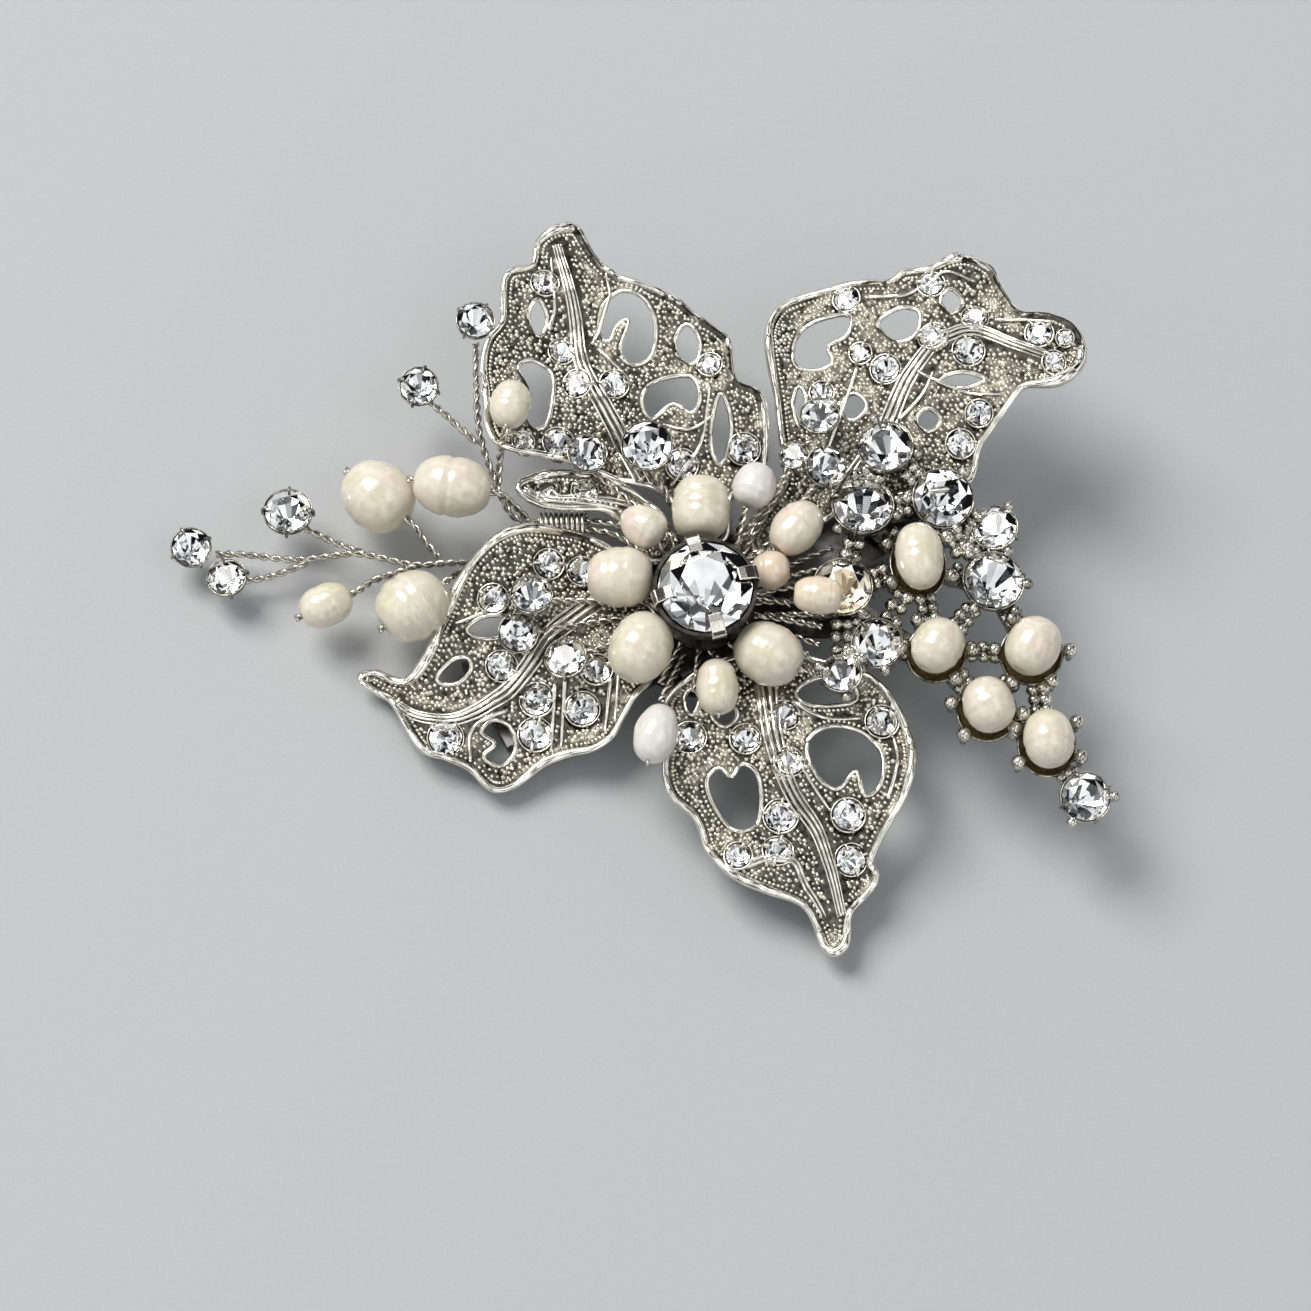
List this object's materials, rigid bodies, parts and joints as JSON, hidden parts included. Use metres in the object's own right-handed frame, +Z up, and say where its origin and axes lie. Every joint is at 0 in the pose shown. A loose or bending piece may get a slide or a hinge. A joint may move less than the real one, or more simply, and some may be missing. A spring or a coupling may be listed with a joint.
{
  "type": "hair pin",
  "caption": "Bridal hair pin: openwork cast leaves, wired pearls and crystals round a large stone, a pearl cluster and a sprung clip behind.",
  "frame": {"origin": "middle of the pin's outline, on the surface that it lies on", "axes": "+X across the pin, from the wired sprays to the pearl cluster; +Y from the lower leaf to the upper leaves; +Z up, the way the stones face"},
  "size_m": [0.0946, 0.0733, 0.0208],
  "materials": {
    "antique_silver": "rhodium-plated casting, bright on its beads and rims, oxidised dark in its recesses",
    "setting_metal": "plated stone settings, polished",
    "cup_metal": "plated pearl cups with ball-ended claws, slightly warm",
    "crystal": "clear cut glass with a foiled back",
    "champagne_crystal": "pale champagne cut glass with a foiled back",
    "cream_pearl": "cream freshwater pearl, lustrous, with ring grooves",
    "white_pearl": "white freshwater pearl, lustrous",
    "rose_pearl": "pale peach freshwater pearl, lustrous",
    "craft_wire": "twisted grey craft wire, satin",
    "clip_steel": "plated spring clip, satin"
  },
  "bodies": {
    "root": {"back_plate": "antique_silver", "leaf_top_left": "antique_silver", "leaf_top_right": "antique_silver", "leaf_left": "antique_silver", "leaf_bottom": "antique_silver", "leaf_small": "antique_silver", "stones_top_left": "crystal", "stones_top_right": "crystal", "stones_left": "crystal", "stones_bottom": "crystal", "stones_small": "crystal", "middle_setting": "antique_silver", "middle_stone": "crystal", "pearl_north": "cream_pearl", "pearl_bud": "white_pearl", "pearl_north_east": "cream_pearl", "pearl_round": "rose_pearl", "pearl_peach": "rose_pearl", "pearl_south_east": "cream_pearl", "pearl_south": "cream_pearl", "pearl_drop": "white_pearl", "pearl_south_west": "cream_pearl", "pearl_west": "cream_pearl", "pearl_teardrop": "rose_pearl", "spray_pearl_1": "cream_pearl", "spray_pearl_2": "cream_pearl", "spray_pearl_3": "cream_pearl", "spray_pearl_4": "cream_pearl", "spray_pearl_5": "cream_pearl", "spray_settings": "setting_metal", "spray_crystals": "crystal", "accent_settings": "setting_metal", "accent_crystals": "crystal", "spray_wire_left": "craft_wire", "spray_wire_top": "craft_wire", "middle_wires": "craft_wire", "wire_binding": "craft_wire", "cluster_frame": "antique_silver", "cluster_cups": "cup_metal", "cluster_settings": "setting_metal", "cluster_pearl_1": "cream_pearl", "cluster_pearl_2": "cream_pearl", "cluster_pearl_3": "cream_pearl", "cluster_pearl_4": "cream_pearl", "cluster_pearl_5": "cream_pearl", "cluster_stones": "crystal", "champagne_stone": "champagne_crystal", "clip_top_jaw": "clip_steel", "clip_hinge_pin": "clip_steel", "clip_spring_coil": "clip_steel"},
    "clip_jaw": {"clip_lower_jaw": "clip_steel", "clip_spring_leg": "clip_steel"}
  },
  "joints": [
    {"name": "clip_hinge", "type": "hinge", "parent": "root", "child": "clip_jaw", "pos_m": [0.01264, 0.00287, 0.00319], "axis": [0.4695, -0.8829, 0], "range_deg": [0, 24], "stiffness_Nm_per_rad": 0.05, "springref_deg": -28.65}
  ]
}
